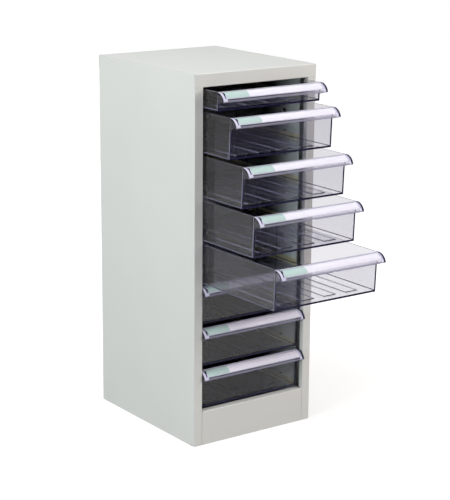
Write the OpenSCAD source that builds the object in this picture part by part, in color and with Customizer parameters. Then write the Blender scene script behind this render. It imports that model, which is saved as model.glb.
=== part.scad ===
// Free-standing steel cabinet with a stack of clear document trays that slide on sheet steel runners.
// Millimetres, +Z up. The origin is the centre of the footprint, on the floor, and -Y is the front.

/* [Cabinet] */
// Width over the side panels
body_w = 278; // [250:1:340]
// Depth from the front frame to the back
body_d = 330; // [300:1:420]
// Height of the kick panel under the drawers
kick_h = 67; // [45:1:120]
// Height of the front rail above the drawers
top_rail_h = 25; // [18:1:45]
// Width of each front stile
stile_w = 19; // [16:1:30]
// How far a stile's edge folds back into the cabinet
return_d = 9.5; // [6:0.5:11]
// Thickness of the sheet steel
sheet_t = 0.8; // [0.6:0.1:1.2]
// Outside radius of the bends
bend_r = 1.5; // [1.4:0.1:3]
// Radius of the outer bottom corner of each stile
foot_r = 4; // [2:0.5:8]
// Width of the hidden flanges that the panels are welded by
flange_w = 15; // [8:1:16]

/* [Drawer stack] */
// Height that a slim drawer takes in the stack; a deep one takes two
slim_pitch = 41.2; // [38:0.2:60]
// Distance from the cabinet's front to a closed drawer's front wall
closed_recess = 12; // [11:0.5:14]
// Space behind a closed drawer
rear_space = 13; // [9:0.5:30]
// Full travel of a drawer
travel = 250; // [150:1:255]
// Gap between a tray and the edge of the opening, each side
side_gap = 2.6; // [2.5:0.1:5]
// Gap between a tray and the runner under it
seat_gap = 0.3; // [0.2:0.05:0.6]

/* [Trays] */
// Thickness of a tray's walls
wall_t = 2.4; // [1.6:0.1:2.6]
// Thickness of a tray's floor
floor_t = 2.4; // [1.8:0.1:3]
// How far the front wall leans out, in degrees
front_lean = 2.6; // [0:0.1:5]
// Radius of a tray's upright corners
corner_r = 3; // [2.5:0.25:6]
// Radius of a tray's long bottom edges
edge_r = 3; // [2.5:0.25:6]
// Width of the raised strips in the floor
strip_w = 28; // [14:1:34]
// Distance between the strips
strip_pitch = 50; // [36:1:50]
// Height of the strips
strip_h = 1.5; // [0.6:0.1:1.5]

/* [Handle lip] */
// Outside radius of the lip's curve
lip_r = 20.2; // [16:0.2:24]
// Thickness of the lip
lip_t = 3.2; // [2.8:0.1:4]
// How far the lip stands past the tray on each side
lip_overhang = 1.4; // [0.6:0.1:1.6]
// Angle of the lip's lower edge above the level, in degrees
lip_tip_angle = 15; // [5:1:25]
// Thickness of the cheek that closes each end of the lip
cheek_t = 2.2; // [1.6:0.1:3]
// Height of the cheek on the front wall
cheek_h = 22; // [19:0.5:28]
// Width of the solid block at each end of the label pocket
block_w = 9.5; // [6:0.1:14]
// Thickness of the label card
card_t = 0.3; // [0.2:0.1:0.4]
// Thickness of the clear cover over the label
cover_t = 0.8; // [0.6:0.1:1]

/* [Runners] */
// Width of the runner's ledge
ledge_w = 10; // [8:0.5:12]
// Height of the runner's web above its ledge
web_h = 9; // [7:0.5:12]
// Drop of the stop tab at the runner's front end
stop_drop = 3; // [2:0.25:4]
// Distance from the cabinet's front to the runners
runner_setback = 25; // [24:1:40]

/* [Drawers as they stand, slim one first] */
// Opening of drawer 1
open_1 = 54; // [0:1:150]
// Opening of drawer 2
open_2 = 93; // [0:1:150]
// Opening of drawer 3
open_3 = 132; // [0:1:150]
// Opening of drawer 4
open_4 = 166; // [0:1:200]
// Opening of drawer 5
open_5 = 230; // [0:1:245]
// Opening of drawer 6
open_6 = 0; // [0:1:150]
// Opening of drawer 7
open_7 = 0; // [0:1:150]
// Opening of drawer 8
open_8 = 0; // [0:1:150]

/* [Hidden] */
$fn = 64;

// The stack from the top, in slim heights, and how far each drawer stands open
DRAWER_UNITS = [1, 2, 2, 2, 2, 2, 2, 2];
DRAWER_OPEN = [open_1, open_2, open_3, open_4, open_5, open_6, open_7, open_8];
drawer_count = len(DRAWER_UNITS);
function units_below(i) = i == drawer_count ? 0 : units_below(i + 1) + DRAWER_UNITS[i];
stack_units = units_below(0);

steel_colour = "#D9D8D3";
liner_colour = "#76807C";
runner_colour = "#A39F83";
clear_colour = "#CFCBE0";
card_colour = "#F4EEF8";
see_through = 0.45;

// The cabinet's planes
half_w = body_w / 2;
front_y = -body_d / 2;
back_y = body_d / 2;
opening_half = half_w - stile_w;
opening_top = kick_h + stack_units * slim_pitch;
body_h = opening_top + top_rail_h;
seam = 0.3;
clear = 0.4;
bend_inner = bend_r - sheet_t;
side_inner = half_w - sheet_t;
back_inner = back_y - 2 * sheet_t;

// The liners stand inside the stiles and carry the runners
liner_gap = 1.2;
liner_inner = opening_half + liner_gap;
liner_setback = runner_setback - 1;
liner_front = front_y + liner_setback;
liner_flange = side_inner - sheet_t - bend_inner - seam;
liner_top = body_h - 2 * sheet_t;

// Runner levels: the top face of a ledge
kick_clear = 2.6;
function level_z(units) = kick_h + kick_clear + units * slim_pitch;
runner_front = front_y + runner_setback;
runner_outer = liner_inner;
runner_inner = liner_inner - sheet_t - ledge_w;
end_tab_w = 7;
end_tab_h = 7;
stop_gap = 0.5;

// Hook slots in the liners, at every slim height, and the hooks that hang in them
slot_w = 10;
slot_h = 7;
slot_rise = 5;
slot_clear = 1;
hook_drop = 4;
slot_from_front = 71;
slot_from_back = 65;
SLOT_Y = [front_y + slot_from_front, back_y - slot_from_back];

// Trays, in their closed place
tray_half = opening_half - side_gap;
tray_front = front_y + closed_recess;
tray_len = body_d - closed_recess - rear_space;
tray_back = tray_front + tray_len;
rim_clear = 2.3;
function tray_h(i) = DRAWER_UNITS[i - 1] * slim_pitch - seat_gap - sheet_t - stop_drop - rim_clear;
function tray_z(i) = level_z(units_below(i)) + seat_gap;
strip_front = 24;
strip_rear = 14;
strip_wall = 1.2;
strip_corner = 2;
STRIP_PLACES = [-1.5, -0.5, 0.5, 1.5];

// Ears at the rear of a tray, which meet the stop tabs of the runners above at full travel
ear_l = 12;
ear_slope = 5;
ear_clear = 0.8;
ear_h = stop_drop + rim_clear - ear_clear;
ear_front = runner_front + sheet_t + stop_gap + travel;

// Lip and label pocket, on a circle whose centre is under the front wall's top edge
lip_half = tray_half + lip_overhang;
lip_mid = lip_r - lip_t / 2;
lip_end = 180 - lip_tip_angle;
cheek_back = 4;
fit_clear = 0.1;
pocket_r = lip_r - cover_t - card_t - 2 * fit_clear;
groove_w = 0.8;
groove_depth = 0.8;
groove_inset = 6.2;
POCKET_ANGLES = [99, 149];
angle_clear = 0.5;
LABEL_ANGLES = [POCKET_ANGLES[0] + angle_clear, POCKET_ANGLES[1] - angle_clear];
notch_r = 12;
notch_depth = 1.5;
past = 1;

function direction(a, b) = (b - a) / norm(b - a);

// Section of a folded sheet. The path follows its outer face and every bend turns left.
module folded_section(path) {
    last = len(path) - 1;
    for (i = [0 : last - 1]) {
        d = direction(path[i], path[i + 1]);
        lead = i == 0 ? 0 : bend_r;
        tail = i == last - 1 ? 0 : bend_r;
        translate(path[i] + d * lead)
            rotate(atan2(d.y, d.x))
                square([norm(path[i + 1] - path[i]) - lead - tail, sheet_t]);
    }
    for (i = [1 : last - 1]) {
        d0 = direction(path[i - 1], path[i]);
        d1 = direction(path[i], path[i + 1]);
        translate(path[i] + (d1 - d0) * bend_r)
            rotate(atan2(d0.y, d0.x))
                intersection() {
                    difference() {
                        circle(bend_r);
                        circle(bend_r - sheet_t);
                    }
                    translate([0, -bend_r])
                        square(bend_r);
                }
    }
}

// A section drawn as [x, z], run along Y
module along_y(y0, y1) {
    translate([0, y1, 0])
        rotate([90, 0, 0])
            linear_extrude(y1 - y0)
                children();
}

// A section drawn as [y, z], run along X
module along_x(x0, x1) {
    translate([x0, 0, 0])
        rotate([90, 0, 90])
            linear_extrude(x1 - x0)
                children();
}

module box(low, high) {
    translate(low)
        cube(high - low);
}

module both_sides() {
    children();
    mirror([1, 0, 0])
        children();
}

// Side panel: one sheet folded into the stile, its return, the side and the rear flange
module side_panel() {
    path = [
        [opening_half, front_y + return_d],
        [opening_half, front_y],
        [half_w, front_y],
        [half_w, back_y],
        [half_w - flange_w, back_y]
    ];
    difference() {
        linear_extrude(opening_top - seam)
            folded_section(path);
        foot_corner();
    }
    box([side_inner, front_y + sheet_t + seam, opening_top - seam],
        [half_w, back_y - sheet_t - seam, body_h - bend_r]);
    box([side_inner, front_y + bend_r, opening_top - bend_r],
        [half_w, back_y - bend_r, body_h - sheet_t]);
    box([side_inner - flange_w, front_y + return_d + clear, body_h - 2 * sheet_t],
        [side_inner + sheet_t / 2, back_inner - clear, body_h - sheet_t]);
}

// What is rounded off the outer bottom corner of a stile
module foot_corner() {
    along_y(front_y - past, front_y + return_d)
        difference() {
            translate([half_w - foot_r, -past])
                square([foot_r + past, foot_r + past]);
            translate([half_w - foot_r, foot_r])
                circle(foot_r);
        }
}

// Top panel: the front rail hangs from it, and a flange of the same height closes the back
module top_panel() {
    path = [
        [back_y, opening_top],
        [back_y, body_h],
        [front_y, body_h],
        [front_y, opening_top],
        [front_y + return_d, opening_top]
    ];
    color(steel_colour) {
        along_x(-opening_half, opening_half)
            folded_section(path);
        both_sides()
            along_x(opening_half, half_w)
                folded_section([path[0], path[1], path[2], path[3]]);
    }
}

module back_panel() {
    panel_half = side_inner - bend_inner - seam;
    color(steel_colour)
        box([-panel_half, back_inner, sheet_t], [panel_half, back_inner + sheet_t, body_h - 2 * sheet_t]);
}

// Bottom pan: a sheet on the floor with its four edges folded up inside the panels
module bottom_pan() {
    pan_front = front_y + sheet_t;
    pan_half = opening_half - bend_r - seam;
    color(steel_colour) {
        along_x(-pan_half, pan_half)
            folded_section([[pan_front, flange_w], [pan_front, 0], [back_inner, 0], [back_inner, flange_w]]);
        along_y(front_y + return_d + clear, back_inner - bend_r)
            folded_section([
                [-side_inner, flange_w],
                [-side_inner, 0],
                [side_inner, 0],
                [side_inner, flange_w]
            ]);
    }
}

// Kick panel: a face between the stiles with a top flange, and end flanges welded to the stiles' returns
module kick_panel() {
    color(steel_colour) {
        linear_extrude(kick_h - bend_r)
            folded_section([
                [-opening_half, front_y + return_d],
                [-opening_half, front_y],
                [opening_half, front_y],
                [opening_half, front_y + return_d]
            ]);
        along_x(-opening_half + bend_r, opening_half - bend_r)
            folded_section([[front_y + flange_w, kick_h], [front_y, kick_h], [front_y, 0]]);
    }
}

// Liner: an upright sheet with a slot at every slim height and flanges to the case
module liner() {
    flange_start = liner_inner + sheet_t / 2;
    difference() {
        translate([0, 0, sheet_t])
            linear_extrude(liner_top - sheet_t)
                folded_section([
                    [liner_flange, back_inner],
                    [liner_inner, back_inner],
                    [liner_inner, liner_front]
                ]);
        for (units = [0 : stack_units], y = SLOT_Y)
            box([liner_inner - past, y - slot_w / 2, level_z(units) + slot_rise],
                [liner_inner + sheet_t + past, y + slot_w / 2, level_z(units) + slot_rise + slot_h]);
    }
    for (z = [sheet_t, liner_top - sheet_t])
        box([flange_start, liner_front + clear, z],
            [liner_flange, back_inner - bend_r - clear, z + sheet_t]);
}

// Runner: an L of sheet with a tab turned down in front, one turned up behind, and two hooks
module runner(level) {
    tab_inner = runner_inner + clear;
    rear_tab = tray_back + stop_gap;
    along_y(runner_front, rear_tab + sheet_t)
        folded_section([
            [runner_inner, level - sheet_t],
            [runner_outer, level - sheet_t],
            [runner_outer, level + web_h]
        ]);
    box([tab_inner, runner_front, level - sheet_t - stop_drop],
        [tab_inner + end_tab_w, runner_front + sheet_t, level - sheet_t / 2]);
    box([tab_inner, rear_tab, level - sheet_t / 2],
        [tab_inner + end_tab_w, rear_tab + sheet_t, level + end_tab_h]);
    for (y = SLOT_Y)
        runner_hook(y, level + slot_rise);
}

// Hook: passes through its slot, rests on the slot's lower edge and turns down behind the liner
module runner_hook(y, z) {
    hook_half = slot_w / 2 - slot_clear;
    behind = liner_inner + sheet_t + fit_clear;
    box([runner_outer - sheet_t / 2, y - hook_half, z], [behind + sheet_t, y + hook_half, z + sheet_t]);
    box([behind, y - hook_half, z - hook_drop], [behind + sheet_t, y + hook_half, z + sheet_t / 2]);
}

// A plan or section with its two near corners rounded
module rounded_end(half, length, r) {
    translate([-half, r])
        square([2 * half, length - r]);
    translate([-half + r, 0])
        square([2 * (half - r), r]);
    for (side = [-1, 1])
        translate([side * (half - r), r])
            circle(r);
}

// The tray's outer form, or its hollow when inset by the wall. The front leans about the rim.
module tray_form(rim, inset, bottom, top) {
    half = tray_half - inset;
    plan_r = max(corner_r - inset, wall_t / 4);
    section_r = max(edge_r - inset, wall_t / 4);
    reach = 2 * rim;
    intersection() {
        translate([0, inset / cos(front_lean), rim])
            rotate([front_lean, 0, 0])
                translate([0, 0, -reach])
                    linear_extrude(2 * reach)
                        rounded_end(half, tray_len + reach, plan_r);
        translate([0, tray_len - inset, bottom])
            rotate([0, 0, 180])
                linear_extrude(top - bottom)
                    rounded_end(half, tray_len + reach, plan_r);
        translate([0, 0, bottom])
            along_y(-reach, tray_len + reach)
                rounded_end(half, top - bottom, section_r);
    }
}

// Raised strips in the floor, or the hollows under them when inset
module floor_strips(inset, low, high) {
    half = strip_w / 2 - inset;
    r = max(strip_corner - inset, wall_t / 4);
    for (place = STRIP_PLACES)
        translate([place * strip_pitch, strip_front + inset, low])
            linear_extrude(high - low)
                strip_plan(half, tray_len - strip_front - strip_rear - 2 * inset, r);
}

module strip_plan(half, length, r) {
    intersection() {
        rounded_end(half, length + 2 * r, r);
        translate([0, length])
            rotate(180)
                rounded_end(half, length + 2 * r, r);
    }
}

// Part of a ring in the lip's section, between two angles
module ring_sector(inner, outer, from, to) {
    steps = 3;
    intersection() {
        difference() {
            circle(outer);
            circle(inner);
        }
        polygon(concat(
            [[0, 0]],
            [for (k = [0 : steps]) let (a = from + (to - from) * k / steps) 2 * outer * [cos(a), sin(a)]]
        ));
    }
}

// Places the lip's section: its centre is under the rim's outer edge
module lip_section(rim, x) {
    along_x(-x, x)
        translate([0, rim - lip_r])
            children();
}

module lip(rim) {
    difference() {
        union() {
            lip_section(rim, lip_half) {
                ring_sector(lip_r - lip_t, lip_r, 90, lip_end);
                translate(lip_mid * [cos(lip_end), sin(lip_end)])
                    circle(lip_t / 2);
                translate([0, lip_r - lip_t])
                    square([wall_t / 2, lip_t]);
            }
            both_sides()
                cheek(rim);
        }
        lip_section(rim, lip_half - block_w)
            ring_sector(pocket_r, lip_r + past, POCKET_ANGLES[0], POCKET_ANGLES[1]);
        both_sides()
            block_groove(rim);
        thumb_notch(rim);
    }
}

// Groove over the block beside the label, which shows where its end is let in
module block_groove(rim) {
    x = lip_half - groove_inset;
    along_x(x - groove_w / 2, x + groove_w / 2)
        translate([0, rim - lip_r])
            ring_sector(lip_r - groove_depth, lip_r + past, POCKET_ANGLES[0], POCKET_ANGLES[1]);
}

// Cheek: closes the end of the lip and runs a little way back along the tray's side
module cheek(rim) {
    tip = lip_mid * [cos(lip_end), sin(lip_end)];
    foot = lip_r - cheek_h;
    along_x(lip_half - cheek_t, lip_half)
        translate([0, rim - lip_r])
            intersection() {
                circle(lip_r);
                polygon([
                    [cheek_back, lip_r],
                    [-lip_r, lip_r],
                    [-lip_r, tip.y],
                    tip,
                    [0, foot],
                    [cheek_back, foot]
                ]);
            }
}

// Shallow notch in the middle of the lip's lower edge
module thumb_notch(rim) {
    low = rim - lip_r + lip_mid * sin(lip_end) - lip_t / 2;
    translate([0, -lip_r / 2, low + notch_depth - notch_r])
        rotate([90, 0, 0])
            cylinder(r = notch_r, h = lip_r);
}

// Ear on a side wall's top edge, sloped behind so that the tray can be lifted in
module ear(rim) {
    y = ear_front - tray_front;
    along_x(tray_half - wall_t, tray_half)
        polygon([
            [y, rim - past],
            [y, rim + ear_h],
            [y + ear_l - ear_slope, rim + ear_h],
            [y + ear_l, rim - past]
        ]);
}

// Moves a drawer's piece from its own frame to where the drawer stands
module in_drawer(i) {
    translate([0, tray_front - DRAWER_OPEN[i - 1], tray_z(i)])
        children();
}

// Tray: one clear moulding with its floor strips, handle lip, cheeks and ears
module tray(i) {
    rim = tray_h(i);
    color(clear_colour, see_through)
        in_drawer(i) {
            difference() {
                union() {
                    difference() {
                        tray_form(rim, 0, 0, rim);
                        tray_form(rim, wall_t, floor_t, rim + past);
                    }
                    floor_strips(0, floor_t / 2, floor_t + strip_h);
                }
                floor_strips(strip_wall, -past, strip_h);
            }
            lip(rim);
            both_sides()
                ear(rim);
        }
}

module label_card(i) {
    inner = pocket_r + fit_clear;
    color(card_colour)
        in_drawer(i)
            lip_section(tray_h(i), lip_half - block_w - fit_clear)
                ring_sector(inner, inner + card_t, LABEL_ANGLES[0], LABEL_ANGLES[1]);
}

module label_cover(i) {
    color(clear_colour, see_through)
        in_drawer(i)
            lip_section(tray_h(i), lip_half - block_w - fit_clear)
                ring_sector(lip_r - cover_t, lip_r, LABEL_ANGLES[0], LABEL_ANGLES[1]);
}

color(steel_colour) mirror([1, 0, 0]) side_panel();  // left_side_panel
color(steel_colour) side_panel();  // right_side_panel
top_panel();
back_panel();
bottom_pan();
kick_panel();
color(liner_colour) mirror([1, 0, 0]) liner();  // left_liner
color(liner_colour) liner();  // right_liner
color(runner_colour) mirror([1, 0, 0]) runner(level_z(stack_units));  // top_guide_left
color(runner_colour) runner(level_z(stack_units));  // top_guide_right
for (i = [1 : drawer_count]) {
    color(runner_colour) mirror([1, 0, 0]) runner(level_z(units_below(i)));
    color(runner_colour) runner(level_z(units_below(i)));
    tray(i);
    label_card(i);
    label_cover(i);
}
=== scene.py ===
"""Finishes, moulded trays, labels and studio for a steel drawer unit with clear trays."""
import math

import bmesh
import bpy
from mathutils import Matrix, Vector


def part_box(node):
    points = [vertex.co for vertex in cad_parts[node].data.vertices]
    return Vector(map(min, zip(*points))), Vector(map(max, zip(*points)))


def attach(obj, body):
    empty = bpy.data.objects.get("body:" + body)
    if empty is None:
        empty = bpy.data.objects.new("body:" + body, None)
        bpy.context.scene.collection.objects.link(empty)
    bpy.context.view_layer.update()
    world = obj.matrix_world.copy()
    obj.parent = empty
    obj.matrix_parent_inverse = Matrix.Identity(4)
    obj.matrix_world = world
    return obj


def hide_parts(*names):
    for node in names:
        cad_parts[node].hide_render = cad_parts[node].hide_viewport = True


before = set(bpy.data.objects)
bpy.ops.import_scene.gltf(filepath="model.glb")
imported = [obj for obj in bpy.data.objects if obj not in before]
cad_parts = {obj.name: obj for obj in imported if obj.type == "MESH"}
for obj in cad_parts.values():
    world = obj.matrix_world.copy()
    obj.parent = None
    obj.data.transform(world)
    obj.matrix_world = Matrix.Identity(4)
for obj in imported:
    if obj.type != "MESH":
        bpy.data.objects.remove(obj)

bl_info = {
    "name": "Clear tray drawer unit",
    "version": (1, 0, 0),
    "blender": (4, 5, 0),
    "location": "View3D > Sidebar > Drawer Unit",
    "description": "Dresses a steel cabinet of clear sliding trays and lights it in a plain studio",
    "category": "Add Mesh",
}

MM = 0.001
WHITE = "#FFFFFF"

# Sizes of the trays' details, as the CAD model has them
WALL = 2.4 * MM
CORNER_R = 3 * MM
STRIP_TOP = 3.9 * MM
LIP_REACH = 24 * MM
LIP_AXIS = 19.6 * MM
LIP_R = 20.2 * MM
LIP_T = 3.2 * MM
LIP_OVERHANG = 1.4 * MM
BLOCK_W = 9.5 * MM

# Angles about a lip's axis, in degrees, where 90 is straight up and 180 is to the front: the skin of the
# lip's outer curve starts and ends at the first two, and the label's pocket and the clear line under it lie
# between them
LIP_START = 85
LIP_END = 165
POCKET_ANGLES = (99, 149)
LINE_ANGLES = (152.5, 158.5)

# A face less deep than the first under a lip's outer curve is the curve's or its pocket's, and one deeper
# than the second is the pocket's
POCKET_DEPTH = 1.2 * MM
CURVE_DEPTH = 0.3 * MM

# Where a tray's skin changes: the painted shade at the right end of a lip, along the groove in a block, and
# in the bands along the front's right corner and foot
END_BAND = 4.6 * MM
GROOVE_BAND = (5.2 * MM, 7.3 * MM)
CORNER_BAND = LIP_OVERHANG + CORNER_R + 2.2 * MM
FOOT_BAND = CORNER_R + 0.7 * MM

# How much of a face's normal lies along an axis where the face leans towards it, where it is square to it,
# and where it is the level top of a rim
LEANING = 0.2
SQUARE = 0.9
LEVEL = 0.95

# A tray's materials in the order of their slots: the clear plastic, painted shade for dark edges, and
# painted highlights for rims, blocks and strips; and how much light goes straight through each of the
# tinted ones
CLEAR, PAINTED_SHADE_EDGE, PAINTED_HIGHLIGHT_RIM, PAINTED_HIGHLIGHT_BLOCK, PAINTED_HIGHLIGHT_STRIP = range(5)
CLEARNESS = {"edge": 0.15, "rim": 0.5, "block": 0.15, "strip": 0.3}

# A face belongs to a flat from this width on. Faces within the first cosine of an angle lie in one flat,
# and faces within the second make one curve.
FLAT_WIDTH = 8 * MM
FLAT_COSINE = 0.99999
SMOOTH_COSINE = 0.82
MERGE_GAP = 0.002 * MM
CUT_GAP = 0.001 * MM

# Colours of the clear plastic: its toner, the painted shade on a wall that faces left or right, and what a
# shadow keeps of the light behind an upright wall, and behind a level one, an edge or a label's cover
TONER = "#817399"
SIDE_WALL_SHADE = "#EDECEF"
UPRIGHT_SHADE = "#EAEAE9"
LEVEL_SHADE = "#FAFAFC"
STYRENE_IOR = 1.5
COVER_DENSITY = 10.0

# The outer coat runs on over the folds behind the front, as far back as this; the inner faces deeper in
# take the painted shade colour
FOLD_DEPTH = 60 * MM

# The liners darken with painted shade from the first of these depths behind the front to the second
LINER_SHADE_DEPTHS = (50 * MM, 130 * MM)

# Sizes of the finishes' patterns. A card's fibres are drawn coarser than they are, so that they show.
CLOUD_SIZE = 111 * MM
SPANGLE_SIZE = 6 * MM
RUB_WIDTH = 1.2 * MM
RUB_LENGTHS = 50
FLOW_SIZE = 30 * MM
GRAIN_SIZE = 4 * MM
FIBRE_SIZE = 0.8 * MM

# The floor: its grey in what the camera sees and in the light on the object, and its own glow, which is
# less round the cabinet than from a metre away, so that the cabinet's shadow stays on it
FLOOR_SIZE = 14.0
SEEN_FLOOR = "#BCBCBC"
PLAIN_FLOOR = "#8C8C8C"
FLOOR_GLOW = (0.57, 0.8)
GLOW_REACH = (0.25, 1.0)

# The card that the trays' front walls reflect towards the camera
FLAG_SIZE = (0.54, 0.56)
FLAG_PLACE = (0.57, -0.9, 0.28)
FLAG_COLOUR = "#ABA8C8"

# Each lamp's place, width, power in watts, colour, and whether it shows in reflections
LAMPS = {
    "left_softbox": ((-1.4, -0.3, 2.85), 1.4, 46.0, "#F8FFFE", True),
    "low_softbox": ((-2.6, -0.8, 0.8), 0.8, 24.0, "#F6FFFC", True),
    "right_softbox": ((2.2, -2.2, 1.5), 1.4, 65.0, "#FFF7F0", False),
    "rear_softbox": ((-0.35, 2.3, 0.45), 0.8, 18.0, WHITE, False),
}
LAMP_AIM = Vector((0, 0, 0.35))

# How often light may bounce, and how many faces a shadow may cross, with a stack of clear trays in the way
BOUNCES = 24
SHADOW_FACES = 48

# The photograph's viewpoint, solved from the corners of the case, with the camera's two directions
VIEWPOINT = Vector((-1.719, -2.4596, 1.0988))
FORWARD = Vector((0.5655, 0.7867, -0.2476))
UPWARD = Vector((0.1384, 0.2054, 0.9688))
SENSOR_WIDTH = 36.0
CLIP_END = 50.0

CASE_NODES = [
    "left_side_panel",
    "right_side_panel",
    "top_panel",
    "back_panel",
    "bottom_pan",
    "kick_panel",
]
LINER_NODES = ["left_liner", "right_liner"]
RUNNER_NODES = sorted(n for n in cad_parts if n.startswith(("runner_", "top_guide_")))
TRAY_NODES = sorted(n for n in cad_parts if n.startswith("tray_"))
CARD_NODES = sorted(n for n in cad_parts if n.startswith("label_card_"))
COVER_NODES = sorted(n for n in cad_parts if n.startswith("label_cover_"))


def linear(code):
    """The linear colour of an sRGB hex value, with full alpha."""
    channels = [int(code[k : k + 2], 16) / 255 for k in (1, 3, 5)]
    return tuple(c / 12.92 if c <= 0.04045 else ((c + 0.055) / 1.055) ** 2.4 for c in channels) + (1.0,)


def drawer_body(node):
    """The body that a drawer's node belongs to."""
    return "drawer_" + node.rsplit("_", 1)[1]


# Properties


class CaseSettings(bpy.types.PropertyGroup):
    """Finish of the case, the liners and the runners, with the painted shade inside the case."""

    coat_colour: bpy.props.FloatVectorProperty(
        name="Powder coat",
        description="Colour of the outer panels",
        subtype="COLOR",
        size=4,
        min=0,
        max=1,
        default=linear("#DDDDDB"),
    )
    # Painted shade: the inner faces' colour stands in for the shade inside the case
    painted_shade_colour: bpy.props.FloatVectorProperty(
        name="Painted shade inside",
        description="Colour of the panels' inner faces, painted dark as the shade inside the case",
        subtype="COLOR",
        size=4,
        min=0,
        max=1,
        default=linear("#34333E"),
    )
    liner_colour: bpy.props.FloatVectorProperty(
        name="Liner paint",
        description="Colour of the liners inside the case",
        subtype="COLOR",
        size=4,
        min=0,
        max=1,
        default=linear("#E4EEE8"),
    )
    # Painted shade: the liners darken to this colour towards the back, where less light reaches
    liner_shade_colour: bpy.props.FloatVectorProperty(
        name="Liner painted shade",
        description="Colour of the liners towards the back, painted darker as the shade there",
        subtype="COLOR",
        size=4,
        min=0,
        max=1,
        default=linear("#5C5D66"),
    )
    runner_colour: bpy.props.FloatVectorProperty(
        name="Runner zinc",
        description="Colour of the passivated zinc on the runners",
        subtype="COLOR",
        size=4,
        min=0,
        max=1,
        default=linear("#F0EABC"),
    )
    peel_size: bpy.props.FloatProperty(
        name="Orange peel",
        description="Distance between the ripples of the powder coat",
        subtype="DISTANCE",
        unit="LENGTH",
        default=3 * MM,
        min=0.5 * MM,
    )


class TraySettings(bpy.types.PropertyGroup):
    """The clear mouldings."""

    density: bpy.props.FloatProperty(
        name="Tint density",
        description="How strongly the plastic absorbs light, for each metre of its thickness",
        default=50.0,
        min=0.0,
    )
    # Painted shade: the dark colour on a tray's edges
    edge_tint: bpy.props.FloatVectorProperty(
        name="Edge tint",
        description="Colour that light takes on where it leaves through an edge",
        subtype="COLOR",
        size=4,
        min=0,
        max=1,
        default=linear("#1E1D40"),
    )
    # Painted highlight on the rims and corners
    rim_tint: bpy.props.FloatVectorProperty(
        name="Rim tint",
        description="Colour of the light that the rims and corners scatter",
        subtype="COLOR",
        size=4,
        min=0,
        max=1,
        default=linear("#A5A3BC"),
    )
    # Painted highlight in the blocks beside a label
    block_tint: bpy.props.FloatVectorProperty(
        name="Block tint",
        description="Colour of the light in the solid blocks beside a label",
        subtype="COLOR",
        size=4,
        min=0,
        max=1,
        default=linear("#D8D6EE"),
    )
    # Painted highlight on the floor strips' walls
    strip_tint: bpy.props.FloatVectorProperty(
        name="Strip tint",
        description="Colour of the light that the floor strips' walls scatter",
        subtype="COLOR",
        size=4,
        min=0,
        max=1,
        default=linear("#8886A0"),
    )


class LabelSettings(bpy.types.PropertyGroup):
    """The cards in the handle lips."""

    card_colour: bpy.props.FloatVectorProperty(
        name="Card",
        description="Colour of the plain part of a card",
        subtype="COLOR",
        size=4,
        min=0,
        max=1,
        default=linear("#E6E1EC"),
    )
    tab_colour: bpy.props.FloatVectorProperty(
        name="Index field",
        description="Colour of the field at a card's left end",
        subtype="COLOR",
        size=4,
        min=0,
        max=1,
        default=linear("#B1C7C3"),
    )
    tab_length: bpy.props.FloatProperty(
        name="Index field length",
        description="Length of the coloured field",
        subtype="DISTANCE",
        unit="LENGTH",
        default=50.3 * MM,
        min=0.0,
    )


class StageSettings(bpy.types.PropertyGroup):
    """Camera and light."""

    lens: bpy.props.FloatProperty(
        name="Lens",
        description="Focal length on a 36 mm wide sensor",
        subtype="DISTANCE_CAMERA",
        default=112.7,
        min=10.0,
    )
    ambient: bpy.props.FloatProperty(
        name="Ambient",
        description="Strength of the even light from all sides",
        default=0.42,
        min=0.0,
    )


# Materials


def add_node(tree, kind, inputs=None, **settings):
    """Adds a shader node, sets its properties, and sets or links its inputs."""
    node = tree.nodes.new(kind)
    for name, value in settings.items():
        setattr(node, name, value)
    for name, value in (inputs or {}).items():
        if isinstance(value, bpy.types.NodeSocket):
            tree.links.new(value, node.inputs[name])
        else:
            node.inputs[name].default_value = value
    return node


def new_material(name):
    """An empty material and its node tree."""
    material = bpy.data.materials.new(name)
    material.use_nodes = True
    material.node_tree.nodes.clear()
    return material, material.node_tree


def powder_coated_steel(name, colour, painted_shade_colour, peel, painted_shade_mask):
    """Polyester powder baked on steel: satin with a fine orange peel, and painted shade where
    painted_shade_mask says.
    """
    material, tree = new_material(name)
    coordinates = add_node(tree, "ShaderNodeTexCoord")
    place = coordinates.outputs["Object"]
    cloud = add_node(tree, "ShaderNodeTexNoise", {"Vector": place, "Scale": 1 / CLOUD_SIZE, "Detail": 3.0})
    tone = add_node(
        tree, "ShaderNodeMapRange", {"Value": cloud.outputs["Fac"], "To Min": 0.97, "To Max": 1.02}
    )
    # The second colour is painted shade, laid where the mask is 1
    skin = add_node(
        tree,
        "ShaderNodeMix",
        {"Factor": painted_shade_mask(tree, coordinates), "A": colour, "B": painted_shade_colour},
        data_type="RGBA",
    )
    base = add_node(
        tree,
        "ShaderNodeMix",
        {"Factor": 1.0, "A": skin.outputs["Result"], "B": tone.outputs["Result"]},
        data_type="RGBA",
        blend_type="MULTIPLY",
    )
    ripple = add_node(tree, "ShaderNodeTexNoise", {"Vector": place, "Scale": 1 / peel, "Detail": 2.0})
    bump = add_node(
        tree, "ShaderNodeBump", {"Height": ripple.outputs["Fac"], "Strength": 0.25, "Distance": 0.15 * MM}
    )
    gloss = add_node(
        tree, "ShaderNodeMapRange", {"Value": cloud.outputs["Fac"], "To Min": 0.42, "To Max": 0.54}
    )
    shader = add_node(
        tree,
        "ShaderNodeBsdfPrincipled",
        {
            "Base Color": base.outputs["Result"],
            "Roughness": gloss.outputs["Result"],
            "Normal": bump.outputs["Normal"],
        },
    )
    add_node(tree, "ShaderNodeOutputMaterial", {"Surface": shader.outputs["BSDF"]})
    return material


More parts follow.
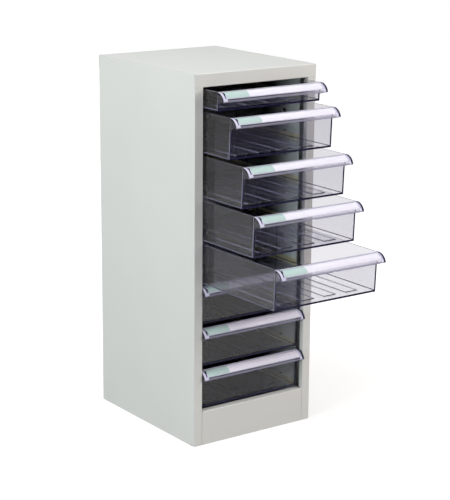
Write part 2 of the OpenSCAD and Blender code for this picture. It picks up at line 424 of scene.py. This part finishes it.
def inside_case(tree, coordinates):
    """Mask of the painted shade: 1 on the faces that look into the case, and 0 on the outer faces and the
    folds.
    """
    low, high = case_box()
    place = coordinates.outputs["Object"]
    centred = add_node(tree, "ShaderNodeVectorMath", {0: place, 1: (low + high) / 2}, operation="SUBTRACT")
    outward = add_node(
        tree,
        "ShaderNodeVectorMath",
        {0: centred.outputs["Vector"], 1: coordinates.outputs["Normal"]},
        operation="DOT_PRODUCT",
    )
    inward = add_node(tree, "ShaderNodeMath", {0: outward.outputs["Value"], 1: 0.0}, operation="LESS_THAN")
    axes = add_node(tree, "ShaderNodeSeparateXYZ", {"Vector": place})
    behind = add_node(
        tree,
        "ShaderNodeMapRange",
        {"Value": axes.outputs["Y"], "From Min": low.y + FOLD_DEPTH, "From Max": low.y + FOLD_DEPTH + MM},
    )
    inner = add_node(
        tree,
        "ShaderNodeMath",
        {0: inward.outputs["Value"], 1: behind.outputs["Result"]},
        operation="MULTIPLY",
    )
    return inner.outputs["Value"]


def deep_inside(tree, coordinates):
    """Mask of the liners' painted shade: it rises from 0 near the front to 1 in the depth of the case."""
    front = case_box()[0].y
    axes = add_node(tree, "ShaderNodeSeparateXYZ", {"Vector": coordinates.outputs["Object"]})
    start, end = (front + depth for depth in LINER_SHADE_DEPTHS)
    fade = add_node(
        tree, "ShaderNodeMapRange", {"Value": axes.outputs["Y"], "From Min": start, "From Max": end}
    )
    return fade.outputs["Result"]


def case_box():
    """Lowest and highest corner of the case's panels."""
    corners = [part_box(n) for n in CASE_NODES]
    low = Vector([min(c[0][k] for c in corners) for k in range(3)])
    high = Vector([max(c[1][k] for c in corners) for k in range(3)])
    return low, high


def passivated_zinc(colour):
    """Zinc plate with a yellow passivation: a dull metal with spangle and rub marks along the runner."""
    material, tree = new_material("passivated_zinc_sheet")
    place = add_node(tree, "ShaderNodeTexCoord").outputs["Object"]
    spangle = add_node(tree, "ShaderNodeTexVoronoi", {"Vector": place, "Scale": 1 / SPANGLE_SIZE})
    tone = add_node(
        tree, "ShaderNodeMapRange", {"Value": spangle.outputs["Distance"], "To Min": 0.88, "To Max": 1.05}
    )
    base = add_node(
        tree,
        "ShaderNodeMix",
        {"Factor": 1.0, "A": colour, "B": tone.outputs["Result"]},
        data_type="RGBA",
        blend_type="MULTIPLY",
    )
    along = add_node(tree, "ShaderNodeMapping", {"Vector": place, "Scale": (1.0, 1 / RUB_LENGTHS, 1.0)})
    rub = add_node(
        tree,
        "ShaderNodeTexNoise",
        {"Vector": along.outputs["Vector"], "Scale": 1 / RUB_WIDTH, "Detail": 2.0},
    )
    gloss = add_node(
        tree, "ShaderNodeMapRange", {"Value": rub.outputs["Fac"], "To Min": 0.35, "To Max": 0.55}
    )
    shader = add_node(
        tree,
        "ShaderNodeBsdfPrincipled",
        {"Base Color": base.outputs["Result"], "Roughness": gloss.outputs["Result"], "Metallic": 0.15},
    )
    add_node(tree, "ShaderNodeOutputMaterial", {"Surface": shader.outputs["BSDF"]})
    return material


def clear_polystyrene(name, side_wall_shade, density, shade):
    """Crystal polystyrene with a blue violet toner: clear through a wall, dark navy along its edges, with
    painted shade on walls facing left or right.
    """
    material, tree = new_material(name)
    coordinates = add_node(tree, "ShaderNodeTexCoord")
    place = coordinates.outputs["Object"]
    axes = add_node(tree, "ShaderNodeSeparateXYZ", {"Vector": coordinates.outputs["Normal"]})
    across = add_node(tree, "ShaderNodeMath", {0: axes.outputs["X"]}, operation="ABSOLUTE")
    # Walls that face left or right get painted shade in their base colour
    tone = add_node(
        tree,
        "ShaderNodeMix",
        {"Factor": across.outputs["Value"], "A": linear(WHITE), "B": side_wall_shade},
        data_type="RGBA",
    )
    flow = add_node(tree, "ShaderNodeTexNoise", {"Vector": place, "Scale": 1 / FLOW_SIZE, "Detail": 1.0})
    bump = add_node(
        tree, "ShaderNodeBump", {"Height": flow.outputs["Fac"], "Strength": 0.03, "Distance": 0.5 * MM}
    )
    wall = add_node(
        tree,
        "ShaderNodeBsdfPrincipled",
        {
            "Base Color": tone.outputs["Result"],
            "Roughness": 0.0,
            "IOR": STYRENE_IOR,
            "Transmission Weight": 1.0,
            "Normal": bump.outputs["Normal"],
        },
    )
    level = add_node(tree, "ShaderNodeMath", {0: axes.outputs["Z"]}, operation="ABSOLUTE")
    shadow = add_node(
        tree,
        "ShaderNodeMix",
        {"Factor": level.outputs["Value"], "A": linear(shade), "B": linear(LEVEL_SHADE)},
        data_type="RGBA",
    )
    passed = add_node(tree, "ShaderNodeBsdfTransparent", {"Color": shadow.outputs["Result"]})
    ray = add_node(tree, "ShaderNodeLightPath")
    surface = add_node(
        tree,
        "ShaderNodeMixShader",
        {0: ray.outputs["Is Shadow Ray"], 1: wall.outputs["BSDF"], 2: passed.outputs["BSDF"]},
    )
    inside = add_node(
        tree, "ShaderNodeVolumeAbsorption", {"Color": linear(TONER), "Density": density}
    )
    add_node(
        tree,
        "ShaderNodeOutputMaterial",
        {"Surface": surface.outputs["Shader"], "Volume": inside.outputs["Volume"]},
    )
    return material


def painted_light_edge(name, tint, clearness):
    """A tinted, partly clear skin for a tray's faces: painted highlights on rims, blocks and strips, and
    painted shade on dark edges.
    """
    material, tree = new_material(name)
    place = add_node(tree, "ShaderNodeTexCoord").outputs["Object"]
    grain = add_node(tree, "ShaderNodeTexNoise", {"Vector": place, "Scale": 1 / GRAIN_SIZE, "Detail": 1.0})
    gloss = add_node(
        tree, "ShaderNodeMapRange", {"Value": grain.outputs["Fac"], "To Min": 0.18, "To Max": 0.26}
    )
    shader = add_node(
        tree,
        "ShaderNodeBsdfPrincipled",
        {
            "Base Color": tint,
            "Roughness": gloss.outputs["Result"],
            "IOR": STYRENE_IOR,
            "Transmission Weight": clearness,
        },
    )
    passed = add_node(tree, "ShaderNodeBsdfTransparent", {"Color": linear(LEVEL_SHADE)})
    ray = add_node(tree, "ShaderNodeLightPath")
    surface = add_node(
        tree,
        "ShaderNodeMixShader",
        {0: ray.outputs["Is Shadow Ray"], 1: shader.outputs["BSDF"], 2: passed.outputs["BSDF"]},
    )
    add_node(tree, "ShaderNodeOutputMaterial", {"Surface": surface.outputs["Shader"]})
    return material


def label_card(card, tab, tab_length, left_end):
    """Uncoated index card: matt, with a faint fibre, and a coloured field at its left end."""
    material, tree = new_material("index_card")
    place = add_node(tree, "ShaderNodeTexCoord").outputs["Object"]
    axes = add_node(tree, "ShaderNodeSeparateXYZ", {"Vector": place})
    beyond = add_node(
        tree,
        "ShaderNodeMath",
        {0: axes.outputs["X"], 1: left_end + tab_length},
        operation="GREATER_THAN",
    )
    base = add_node(
        tree, "ShaderNodeMix", {"Factor": beyond.outputs["Value"], "A": tab, "B": card}, data_type="RGBA"
    )
    fibre = add_node(tree, "ShaderNodeTexNoise", {"Vector": place, "Scale": 1 / FIBRE_SIZE, "Detail": 3.0})
    bump = add_node(
        tree, "ShaderNodeBump", {"Height": fibre.outputs["Fac"], "Strength": 0.15, "Distance": 0.05 * MM}
    )
    shader = add_node(
        tree,
        "ShaderNodeBsdfPrincipled",
        {"Base Color": base.outputs["Result"], "Roughness": 0.8, "Normal": bump.outputs["Normal"]},
    )
    add_node(tree, "ShaderNodeOutputMaterial", {"Surface": shader.outputs["BSDF"]})
    return material


def put_on(objects, material):
    """Makes a material the only one on each object."""
    for obj in objects:
        obj.data.materials.clear()
        obj.data.materials.append(material)


# Operators


class DRAWERUNIT_OT_coat_case(bpy.types.Operator):
    """Powder coat the panels, paint the liners and plate the runners, with painted shade inside the case
    and towards the liners' back
    """

    bl_idname = "drawer_unit.coat_case"
    bl_label = "Finish the Case"

    def execute(self, context):
        case = context.scene.drawer_unit_case
        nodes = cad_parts
        coat = powder_coated_steel(
            "powder_coated_steel", case.coat_colour, case.painted_shade_colour, case.peel_size, inside_case
        )
        paint = powder_coated_steel(
            "painted_liner_steel", case.liner_colour, case.liner_shade_colour, case.peel_size, deep_inside
        )
        put_on([nodes[n] for n in CASE_NODES], coat)
        put_on([nodes[n] for n in LINER_NODES], paint)
        put_on([nodes[n] for n in RUNNER_NODES], passivated_zinc(case.runner_colour))
        return {"FINISHED"}


class DRAWERUNIT_OT_mould_trays(bpy.types.Operator):
    """Stand a smoothly shaded moulding in for each tray, with painted shade on its edges and painted
    highlights on its rims
    """

    bl_idname = "drawer_unit.mould_trays"
    bl_label = "Mould the Trays"

    def execute(self, context):
        trays = context.scene.drawer_unit_trays
        skins = [clear_polystyrene("clear_polystyrene", linear(SIDE_WALL_SHADE), trays.density, UPRIGHT_SHADE)]
        for part, clearness in CLEARNESS.items():
            tint = getattr(trays, part + "_tint")
            skins.append(painted_light_edge("clear_polystyrene_" + part, tint, clearness))
        for node in TRAY_NODES:
            piece = smooth_copy(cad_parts[node], node + "_moulding", tray_skin)
            for skin in skins:
                piece.data.materials.append(skin)
            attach(piece, drawer_body(node))
            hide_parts(node)
        return {"FINISHED"}


def smooth_copy(source, name, skin_of):
    """A merged copy of a CAD node, smooth over curves and flat on flats, with each face in its slot."""
    mesh = source.data.copy()
    mesh.name = name
    mesh.materials.clear()
    work = bmesh.new()
    work.from_mesh(mesh)
    bmesh.ops.remove_doubles(work, verts=work.verts, dist=MERGE_GAP)
    low = Vector([min(v.co[k] for v in work.verts) for k in range(3)])
    high = Vector([max(v.co[k] for v in work.verts) for k in range(3)])
    high.z = max(v.co.z for v in work.verts if v.co.y < low.y + LIP_REACH)
    score(work, low, high)
    flats = flat_faces(work)
    normals = []
    for face in work.faces:
        face.smooth = True
        face.material_index = skin_of(face.calc_center_median(), face.normal, low, high)
        normals.extend(corner_normal(loop, flats) for loop in face.loops)
    work.to_mesh(mesh)
    work.free()
    mesh.normals_split_custom_set(normals)
    obj = bpy.data.objects.new(name, mesh)
    bpy.context.scene.collection.objects.link(obj)
    return obj


def flat_faces(work):
    """The faces that lie in a flat at least FLAT_WIDTH wide."""
    flats, seen = set(), set()
    for first in work.faces:
        if first in seen:
            continue
        seen.add(first)
        region, waiting = [], [first]
        while waiting:
            face = waiting.pop()
            region.append(face)
            for other in {f for e in face.edges for f in e.link_faces} - seen:
                if other.normal.dot(first.normal) > FLAT_COSINE:
                    seen.add(other)
                    waiting.append(other)
        points = [v.co for f in region for v in f.verts]
        spans = [max(p[k] for p in points) - min(p[k] for p in points) for k in range(3)]
        if sum(f.calc_area() for f in region) > FLAT_WIDTH * max(spans):
            flats.update(region)
    return flats


def corner_normal(loop, flats):
    """A corner's shading normal: its flat's own, that of a flat it runs into, or the mean of its curve."""
    face = loop.face
    if face in flats:
        return face.normal.copy()
    around = loop.vert.link_loops
    near = [other for other in around if other.face.normal.dot(face.normal) > SMOOTH_COSINE]
    for other in near:
        if other.face in flats:
            return other.face.normal.copy()
    return sum((other.face.normal * other.calc_angle() for other in near), Vector()).normalized()


def lip_centre(low, high):
    """Where the axis of a tray's lip lies along Y and Z."""
    return low.y + LIP_AXIS, high.z - LIP_R


def score(work, low, high):
    """Splits the faces of a tray's front where its skin changes, without a change of shape."""
    y, z = lip_centre(low, high)
    cuts = [
        (Vector((side * (high.x - inset), 0, 0)), Vector((1, 0, 0)))
        for side in (-1, 1)
        for inset in (END_BAND, *GROOVE_BAND, CORNER_BAND, BLOCK_W)
    ]
    cuts.append((Vector((0, 0, low.z + FOOT_BAND)), Vector((0, 0, 1))))
    for angle in (*POCKET_ANGLES, *LINE_ANGLES):
        turn = math.radians(angle)
        cuts.append((Vector((0, y, z)), Vector((0, -math.sin(turn), math.cos(turn)))))
    for place, direction in cuts:
        front = [f for f in work.faces if f.calc_center_median().y < low.y + LIP_REACH]
        parts = {part for face in front for part in (face, *face.edges, *face.verts)}
        bmesh.ops.bisect_plane(work, geom=list(parts), plane_co=place, plane_no=direction, dist=CUT_GAP)


def tray_skin(centre, normal, low, high):
    """Slot of a tray's face: edges get painted shade, and rims and the blocks beside a label get painted
    highlights.
    """
    y, z = lip_centre(low, high)
    radius = math.hypot(centre.y - y, centre.z - z)
    angle = math.degrees(math.atan2(centre.z - z, centre.y - y))
    inset = high.x - abs(centre.x)
    across, along, upright = (abs(n) for n in normal)
    # Painted highlight along the lip's lower edge
    if angle > LIP_END and radius > LIP_R - LIP_T:
        return PAINTED_HIGHLIGHT_RIM
    if angle > LIP_START and radius > LIP_R - POCKET_DEPTH:
        return lip_skin(angle, radius, centre.x, inset, across)
    # Side faces get a painted highlight on the left of the tray and painted shade on the right
    if across > LEANING and normal.x * centre.x > 0 and max(along, upright) > LEANING:
        return PAINTED_HIGHLIGHT_RIM if across > max(along, upright) and centre.x < 0 else PAINTED_SHADE_EDGE
    # Painted shade along the front's lower edge
    if normal.z < -LEANING and along > LEANING and centre.z < low.z + CORNER_R:
        return PAINTED_SHADE_EDGE
    # Painted shade along the front's right corner and its foot
    at_corner = high.x - centre.x < CORNER_BAND and centre.z < z
    if normal.y < -SQUARE and (at_corner or centre.z < low.z + FOOT_BAND):
        return PAINTED_SHADE_EDGE
    if not low.y + LIP_REACH < centre.y < high.y - WALL:
        return CLEAR
    # On the floor, painted shade on the strips' ends and a painted highlight on their sides
    if centre.z < low.z + STRIP_TOP:
        return PAINTED_SHADE_EDGE if along > SQUARE else PAINTED_HIGHLIGHT_STRIP if across > SQUARE else CLEAR
    # Painted highlight on the level tops of the rims
    return PAINTED_HIGHLIGHT_RIM if normal.z > LEVEL and centre.z > low.z + 2 * STRIP_TOP else CLEAR


def lip_skin(angle, radius, x, inset, across):
    """Slot of a face of the lip's outer curve, at an angle about its axis and an inset from its end."""
    if across > SQUARE or radius < LIP_R - CURVE_DEPTH:
        return PAINTED_SHADE_EDGE if inset > END_BAND else CLEAR
    if inset < BLOCK_W:
        grooved = GROOVE_BAND[0] < inset < GROOVE_BAND[1] and angle < POCKET_ANGLES[1]
        # Painted shade on the groove line at the left end and on the right end; painted highlight on the
        # rest of the block
        dark = grooved if x < 0 else inset < END_BAND
        return PAINTED_SHADE_EDGE if dark else PAINTED_HIGHLIGHT_BLOCK
    # Painted highlight on the block and the tip, with the clear line between them
    return PAINTED_HIGHLIGHT_BLOCK if angle < LINE_ANGLES[0] else CLEAR if angle < LINE_ANGLES[1] else PAINTED_HIGHLIGHT_RIM


class DRAWERUNIT_OT_dress_labels(bpy.types.Operator):
    """Give the label cards and their clear covers their finish"""

    bl_idname = "drawer_unit.dress_labels"
    bl_label = "Dress the Labels"

    def execute(self, context):
        labels = context.scene.drawer_unit_labels
        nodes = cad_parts
        left_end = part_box(CARD_NODES[0])[0].x
        card = label_card(labels.card_colour, labels.tab_colour, labels.tab_length, left_end)
        put_on([nodes[n] for n in CARD_NODES], card)
        cover = clear_polystyrene("clear_label_cover", linear(WHITE), COVER_DENSITY, LEVEL_SHADE)
        put_on([nodes[n] for n in COVER_NODES], cover)
        return {"FINISHED"}


class DRAWERUNIT_OT_set_stage(bpy.types.Operator):
    """Lay the floor and set the light and the camera"""

    bl_idname = "drawer_unit.set_stage"
    bl_label = "Set the Stage"

    def execute(self, context):
        stage = context.scene.drawer_unit_stage
        lay_floor()
        white_world(stage.ambient)
        hang_lamps()
        stand_flag()
        set_camera(stage.lens)
        context.scene.view_settings.view_transform = "Standard"
        context.scene.cycles.transparent_max_bounces = SHADOW_FACES
        context.scene.cycles.transmission_bounces = BOUNCES
        context.scene.cycles.max_bounces = BOUNCES
        context.scene.cycles.caustics_reflective = False
        return {"FINISHED"}


def lay_floor():
    """A pale floor that the camera sees as white, except where the cabinet shades it."""
    bpy.ops.mesh.primitive_plane_add(size=FLOOR_SIZE)
    floor = bpy.context.object
    floor.name = "studio_floor"
    material, tree = new_material("white_studio_floor")
    paint = add_node(tree, "ShaderNodeBsdfDiffuse", {"Color": linear(SEEN_FLOOR)})
    place = add_node(tree, "ShaderNodeTexCoord").outputs["Object"]
    distance = add_node(tree, "ShaderNodeVectorMath", {0: place}, operation="LENGTH")
    strength = add_node(
        tree,
        "ShaderNodeMapRange",
        {
            "Value": distance.outputs["Value"],
            "From Min": GLOW_REACH[0],
            "From Max": GLOW_REACH[1],
            "To Min": FLOOR_GLOW[0],
            "To Max": FLOOR_GLOW[1],
        },
    )
    glow = add_node(
        tree, "ShaderNodeEmission", {"Color": linear(WHITE), "Strength": strength.outputs["Result"]}
    )
    lit = add_node(tree, "ShaderNodeAddShader", {0: paint.outputs["BSDF"], 1: glow.outputs["Emission"]})
    plain = add_node(tree, "ShaderNodeBsdfDiffuse", {"Color": linear(PLAIN_FLOOR)})
    surface = add_node(
        tree,
        "ShaderNodeMixShader",
        {0: seen_ray(tree), 1: plain.outputs["BSDF"], 2: lit.outputs["Shader"]},
    )
    add_node(tree, "ShaderNodeOutputMaterial", {"Surface": surface.outputs["Shader"]})
    floor.data.materials.append(material)


def seen_ray(tree):
    """A socket that is 1 for what the camera sees, straight or through the clear plastic."""
    ray = add_node(tree, "ShaderNodeLightPath")
    clear = add_node(
        tree,
        "ShaderNodeMath",
        {0: ray.outputs["Is Transmission Ray"], 1: ray.outputs["Diffuse Depth"]},
        operation="SUBTRACT",
    )
    seen = add_node(
        tree,
        "ShaderNodeMath",
        {0: ray.outputs["Is Camera Ray"], 1: clear.outputs["Value"]},
        operation="MAXIMUM",
    )
    return seen.outputs["Value"]


def white_world(ambient):
    """Even light from all sides, which the camera sees as white, straight or through the clear plastic."""
    world = bpy.data.worlds.new("studio_world")
    bpy.context.scene.world = world
    world.use_nodes = True
    tree = world.node_tree
    tree.nodes.clear()
    soft = add_node(tree, "ShaderNodeBackground", {"Color": linear(WHITE), "Strength": ambient})
    white = add_node(tree, "ShaderNodeBackground", {"Color": linear(WHITE), "Strength": 1.0})
    surface = add_node(
        tree,
        "ShaderNodeMixShader",
        {0: seen_ray(tree), 1: soft.outputs["Background"], 2: white.outputs["Background"]},
    )
    add_node(tree, "ShaderNodeOutputWorld", {"Surface": surface.outputs["Shader"]})


def hang_lamps():
    """Soft boxes: a cool one high at the left, one low beside it, a warm one in front, and one behind."""
    for name, (place, width, power, tint, in_reflections) in LAMPS.items():
        light = bpy.data.lights.new(name, "AREA")
        light.shape = "SQUARE"
        light.size = width
        light.energy = power
        light.color = linear(tint)[:3]
        lamp = bpy.data.objects.new(name, light)
        bpy.context.scene.collection.objects.link(lamp)
        lamp.visible_transmission = False
        lamp.visible_glossy = in_reflections
        turn = (LAMP_AIM - Vector(place)).to_track_quat("-Z", "Y")
        lamp.matrix_world = Matrix.Translation(place) @ turn.to_matrix().to_4x4()


def stand_flag():
    """A grey card before the front, seen in reflections alone, which keeps glare off the trays."""
    bpy.ops.mesh.primitive_plane_add(size=1.0)
    flag = bpy.context.object
    flag.name = "grey_flag"
    shape = Matrix.Rotation(math.radians(90), 4, "X") @ Matrix.Diagonal((FLAG_SIZE[0], FLAG_SIZE[1], 1, 1))
    flag.data.transform(Matrix.Translation(FLAG_PLACE) @ shape)
    material, tree = new_material("grey_flag_cloth")
    cloth = add_node(tree, "ShaderNodeBsdfDiffuse", {"Color": linear(FLAG_COLOUR)})
    nothing = add_node(tree, "ShaderNodeBsdfTransparent")
    ray = add_node(tree, "ShaderNodeLightPath")
    surface = add_node(
        tree,
        "ShaderNodeMixShader",
        {0: ray.outputs["Glossy Depth"], 1: nothing.outputs["BSDF"], 2: cloth.outputs["BSDF"]},
    )
    add_node(tree, "ShaderNodeOutputMaterial", {"Surface": surface.outputs["Shader"]})
    flag.data.materials.append(material)
    flag.visible_camera = False
    flag.visible_diffuse = False
    flag.visible_shadow = False


def set_camera(lens):
    """The photograph's viewpoint: to the left of the front and a little above, with no shift."""
    camera = bpy.data.cameras.new("camera")
    camera.lens = lens
    camera.sensor_width = SENSOR_WIDTH
    camera.clip_end = CLIP_END
    forward = FORWARD.normalized()
    right = forward.cross(UPWARD).normalized()
    up = right.cross(forward)
    turn = Matrix((right, up, -forward)).transposed().to_4x4()
    obj = bpy.data.objects.new("camera", camera)
    bpy.context.scene.collection.objects.link(obj)
    obj.matrix_world = Matrix.Translation(VIEWPOINT) @ turn
    bpy.context.scene.camera = obj


# Panel and registration


class DRAWERUNIT_PT_panel(bpy.types.Panel):
    """Lists the steps that dress the drawer unit"""

    bl_label = "Drawer Unit"
    bl_idname = "DRAWERUNIT_PT_panel"
    bl_space_type = "VIEW_3D"
    bl_region_type = "UI"
    bl_category = "Drawer Unit"

    def draw(self, context):
        layout = self.layout
        for group in ("drawer_unit_case", "drawer_unit_trays", "drawer_unit_labels", "drawer_unit_stage"):
            settings = getattr(context.scene, group)
            for name in settings.__annotations__:
                layout.prop(settings, name)
        for operator in OPERATORS:
            layout.operator(operator.bl_idname)


SETTINGS = {
    "drawer_unit_case": CaseSettings,
    "drawer_unit_trays": TraySettings,
    "drawer_unit_labels": LabelSettings,
    "drawer_unit_stage": StageSettings,
}
OPERATORS = (
    DRAWERUNIT_OT_coat_case,
    DRAWERUNIT_OT_mould_trays,
    DRAWERUNIT_OT_dress_labels,
    DRAWERUNIT_OT_set_stage,
)


def register():
    for cls in (*SETTINGS.values(), *OPERATORS, DRAWERUNIT_PT_panel):
        bpy.utils.register_class(cls)
    for name, cls in SETTINGS.items():
        setattr(bpy.types.Scene, name, bpy.props.PointerProperty(type=cls))


def unregister():
    for name in SETTINGS:
        delattr(bpy.types.Scene, name)
    for cls in (DRAWERUNIT_PT_panel, *reversed(OPERATORS), *reversed(SETTINGS.values())):
        bpy.utils.unregister_class(cls)


def main():
    """Dresses the unit."""
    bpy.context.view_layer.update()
    register()
    bpy.ops.drawer_unit.set_stage()
    bpy.ops.drawer_unit.coat_case()
    bpy.ops.drawer_unit.mould_trays()
    bpy.ops.drawer_unit.dress_labels()


if __name__ == "__main__":
    main()
